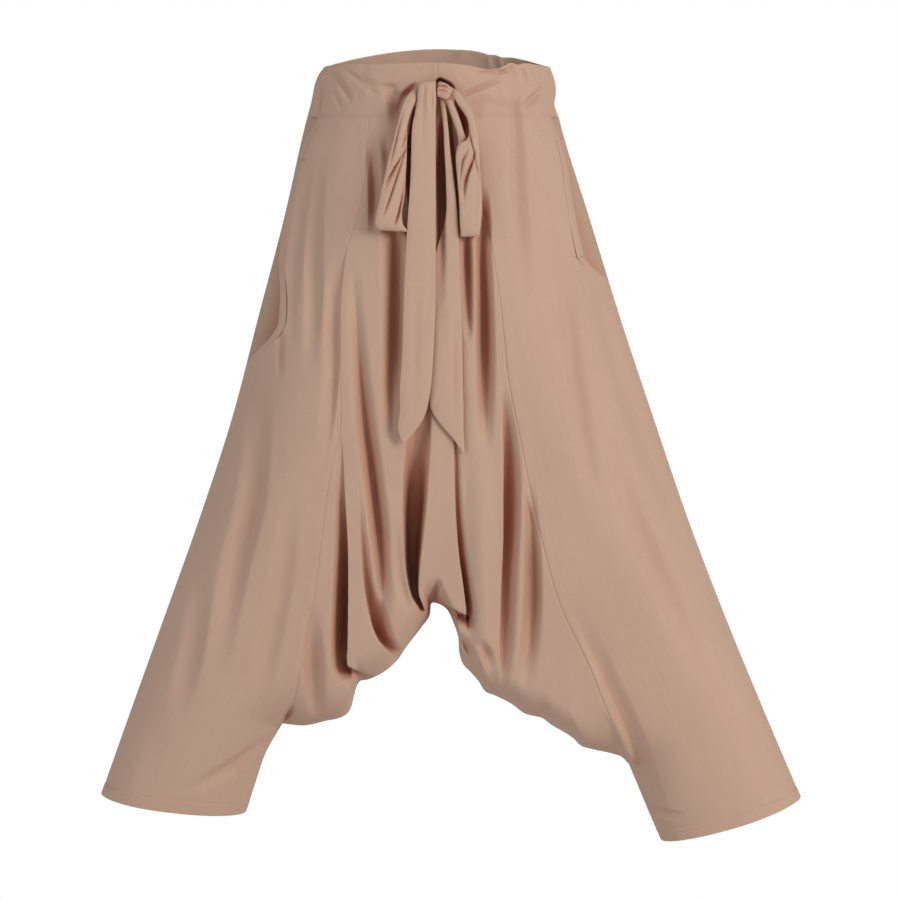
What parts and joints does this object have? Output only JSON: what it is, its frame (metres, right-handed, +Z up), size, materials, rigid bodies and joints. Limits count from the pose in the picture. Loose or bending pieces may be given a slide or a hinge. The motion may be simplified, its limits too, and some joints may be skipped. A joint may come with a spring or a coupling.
{
  "type": "harem pants",
  "caption": "Long harem pants in light woven cloth, with a wide waistband, a tie bow, gaping side pockets and a deep draped panel between straight legs.",
  "frame": {"origin": "centre of the waist, level with the top edge of the front waistband", "axes": "+Z up out of the waist, the garment's front faces -Y, the wearer's left is at +X"},
  "size_m": [0.8795, 0.2742, 0.991],
  "materials": {
    "cloth": "matt plain weave, warm beige brown",
    "pocket_cloth": "matt plain weave, warm beige brown",
    "tie_cloth": "matt plain weave, warm beige brown"
  },
  "bodies": {
    "root": {"waistband_front_right": "cloth", "waistband_front_left": "cloth", "waistband_back": "cloth", "centre_panel": "cloth", "leg_front_right": "cloth", "leg_back_right": "cloth", "pocket_facing_right": "pocket_cloth", "leg_front_left": "cloth", "leg_back_left": "cloth", "pocket_facing_left": "pocket_cloth", "tie_knot": "tie_cloth", "tie_loop_right": "tie_cloth", "tie_loop_left": "tie_cloth", "tie_tail_front": "tie_cloth", "tie_tail_back": "tie_cloth"}
  },
  "joints": []
}
